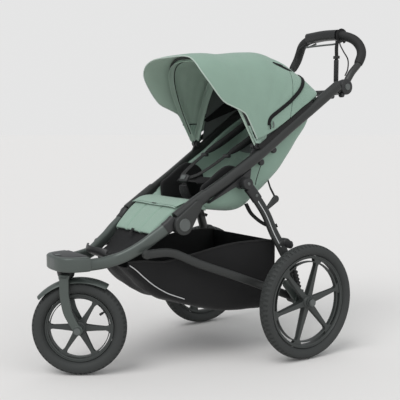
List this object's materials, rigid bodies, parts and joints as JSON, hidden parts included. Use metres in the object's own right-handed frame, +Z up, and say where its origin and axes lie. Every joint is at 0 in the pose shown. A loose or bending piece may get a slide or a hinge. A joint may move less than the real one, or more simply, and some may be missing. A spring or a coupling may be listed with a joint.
{
  "type": "baby stroller",
  "caption": "jogging stroller with swivel front wheel, spoked air-filled wheels, folding frame, adjustable handlebar, reclining seat, canopy and basket",
  "frame": {"origin": "middle of the bounding box on the ground, under the seat, wheels standing on z = 0", "axes": "+Z up; the stroller rolls towards -Y, its handlebar is at +Y; +X is the child's left; the front wheel rests swivelled 35 degrees"},
  "size_m": [0.69, 1.2531, 1.1703],
  "materials": {
    "frame_paint": "satin dark grey powder coat",
    "lower_frame_paint": "satin green-grey powder coat",
    "wheel_plastic": "moulded dark grey plastic",
    "black_plastic": "moulded black plastic, fine grain",
    "grey_plastic": "moulded mid-grey plastic, fine grain",
    "tyre": "matt black tread and side walls",
    "rubber": "matt black rubber",
    "foam": "matt black closed-cell foam",
    "steel": "plain steel wire",
    "sage_fabric": "sage green woven polyester",
    "black_fabric": "black woven polyester"
  },
  "bodies": {
    "upper_frame": {"upper_tube_left": "frame_paint", "upper_tube_right": "frame_paint", "fold_housing_left": "black_plastic", "fold_housing_right": "black_plastic", "hinge_disc_left": "grey_plastic", "hinge_disc_right": "grey_plastic", "leg_bracket_left": "black_plastic", "leg_bracket_right": "black_plastic", "cross_bar": "frame_paint", "seat_base": "black_fabric", "leg_rest": "sage_fabric", "buckle": "grey_plastic", "canopy_clamp_left": "black_plastic", "canopy_clamp_right": "black_plastic", "canopy_rear": "sage_fabric"},
    "backrest": {"seat_back": "sage_fabric", "shoulder_straps": "black_fabric"},
    "front_frame": {"lower_tube_left": "lower_frame_paint", "lower_tube_right": "lower_frame_paint", "fold_knuckle_left": "black_plastic", "fold_knuckle_right": "black_plastic", "nose_block": "black_plastic", "foot_tray": "black_plastic", "calf_panel": "black_fabric"},
    "swivel_lock": {"swivel_lock_catch": "grey_plastic"},
    "fork_assembly": {"fork": "lower_frame_paint", "front_mudguard": "black_plastic", "front_axle": "grey_plastic"},
    "front_wheel": {"front_rim": "wheel_plastic", "front_tyre": "tyre"},
    "rear_legs": {"rear_leg_left": "frame_paint", "rear_leg_right": "frame_paint", "rear_cross_tube": "frame_paint", "elastomer_left": "rubber", "elastomer_right": "rubber"},
    "left_rear_arm": {"rear_arm_left": "black_plastic"},
    "right_rear_arm": {"rear_arm_right": "black_plastic"},
    "left_rear_wheel": {"rear_rim_left": "wheel_plastic", "rear_tyre_left": "tyre"},
    "right_rear_wheel": {"rear_rim_right": "wheel_plastic", "rear_tyre_right": "tyre"},
    "left_wheel_release": {"wheel_release_left": "grey_plastic"},
    "right_wheel_release": {"wheel_release_right": "grey_plastic"},
    "stays": {"stay_left": "frame_paint", "stay_right": "frame_paint", "basket": "black_fabric"},
    "handle": {"handlebar": "frame_paint", "handle_grip": "foam", "brake_console": "black_plastic", "brake_cable_left": "rubber", "brake_cable_right": "rubber", "wrist_strap": "black_fabric"},
    "lever": {"brake_lever": "steel"},
    "left_tilt_button": {"tilt_button_left": "grey_plastic"},
    "right_tilt_button": {"tilt_button_right": "grey_plastic"},
    "canopy_front_bow": {"canopy_bow_front": "steel", "canopy_front": "sage_fabric", "visor": "sage_fabric"},
    "canopy_middle_bow": {"canopy_bow_middle": "steel"}
  },
  "joints": [
    {"name": "fold", "type": "hinge", "parent": "upper_frame", "child": "front_frame", "pos_m": [0, -0.196, 0.482], "axis": [1, 0, 0], "range_deg": [0, 120]},
    {"name": "leg_swing", "type": "hinge", "parent": "upper_frame", "child": "rear_legs", "pos_m": [0, 0.044, 0.607], "axis": [1, 0, 0], "range_deg": [0, 72]},
    {"name": "stay_swing", "type": "hinge", "parent": "rear_legs", "child": "stays", "pos_m": [0, 0.224, 0.205], "axis": [1, 0, 0], "range_deg": [-30, 0], "deforming": ["basket"]},
    {"name": "swivel", "type": "hinge", "parent": "front_frame", "child": "fork_assembly", "pos_m": [0, -0.528, 0.155], "axis": [0, 0, 1], "continuous": true},
    {"name": "front_wheel_spin", "type": "hinge", "parent": "fork_assembly", "child": "front_wheel", "pos_m": [0.0234, -0.4943, 0.155], "axis": [0.8211, -0.5707, 0], "continuous": true},
    {"name": "swivel_lock_slide", "type": "slide", "parent": "front_frame", "child": "swivel_lock", "axis": [0, 1, 0], "range_m": [0, 0.003]},
    {"name": "handle_tilt", "type": "hinge", "parent": "upper_frame", "child": "handle", "pos_m": [0, 0.516, 0.943], "axis": [1, 0, 0], "range_deg": [-75, 8], "deforming": ["wrist_strap"]},
    {"name": "brake_squeeze", "type": "hinge", "parent": "handle", "child": "lever", "pos_m": [0, 0.616, 1.13], "axis": [1, 0, 0], "range_deg": [-8, 0], "stiffness_Nm_per_rad": 1, "springref_deg": 5.73},
    {"name": "canopy_fold", "type": "hinge", "parent": "upper_frame", "child": "canopy_front_bow", "pos_m": [0, 0.1, 0.732], "axis": [1, 0, 0], "range_deg": [-53, 0], "deforming": ["canopy_front"]},
    {"name": "canopy_middle_fold", "type": "hinge", "parent": "upper_frame", "child": "canopy_middle_bow", "pos_m": [0, 0.1, 0.732], "axis": [1, 0, 0], "range_deg": [-22, 0]},
    {"name": "seat_recline", "type": "hinge", "parent": "upper_frame", "child": "backrest", "pos_m": [0, 0.119, 0.566], "axis": [1, 0, 0], "range_deg": [-28, 0]},
    {"name": "left_suspension", "type": "hinge", "parent": "rear_legs", "child": "left_rear_arm", "pos_m": [0.2708, 0.164, 0.262], "axis": [1, 0, 0], "range_deg": [0, 6], "stiffness_Nm_per_rad": 150, "springref_deg": -2.86, "deforming": ["elastomer_left"]},
    {"name": "left_rear_wheel_spin", "type": "hinge", "parent": "left_rear_arm", "child": "left_rear_wheel", "pos_m": [0.31, 0.224, 0.2], "axis": [1, 0, 0], "continuous": true},
    {"name": "left_wheel_release", "type": "slide", "parent": "left_rear_wheel", "child": "left_wheel_release", "axis": [-1, 0, 0], "range_m": [0, 0.003], "stiffness_N_per_m": 400, "springref_m": -0.001},
    {"name": "left_tilt_button", "type": "slide", "parent": "handle", "child": "left_tilt_button", "axis": [-1, 0, 0], "range_m": [0, 0.003], "stiffness_N_per_m": 400, "springref_m": -0.001},
    {"name": "right_suspension", "type": "hinge", "parent": "rear_legs", "child": "right_rear_arm", "pos_m": [-0.2708, 0.164, 0.262], "axis": [1, 0, 0], "range_deg": [0, 6], "stiffness_Nm_per_rad": 150, "springref_deg": -2.86, "deforming": ["elastomer_right"]},
    {"name": "right_rear_wheel_spin", "type": "hinge", "parent": "right_rear_arm", "child": "right_rear_wheel", "pos_m": [-0.31, 0.224, 0.2], "axis": [1, 0, 0], "continuous": true},
    {"name": "right_wheel_release", "type": "slide", "parent": "right_rear_wheel", "child": "right_wheel_release", "axis": [1, 0, 0], "range_m": [0, 0.003], "stiffness_N_per_m": 400, "springref_m": -0.001},
    {"name": "right_tilt_button", "type": "slide", "parent": "handle", "child": "right_tilt_button", "axis": [1, 0, 0], "range_m": [0, 0.003], "stiffness_N_per_m": 400, "springref_m": -0.001}
  ],
  "couplings": [
    {"joint": "leg_swing", "follows": "fold", "ratio": 0.57},
    {"joint": "stay_swing", "follows": "fold", "ratio": -0.23},
    {"joint": "canopy_middle_fold", "follows": "canopy_fold", "ratio": 0.35}
  ]
}
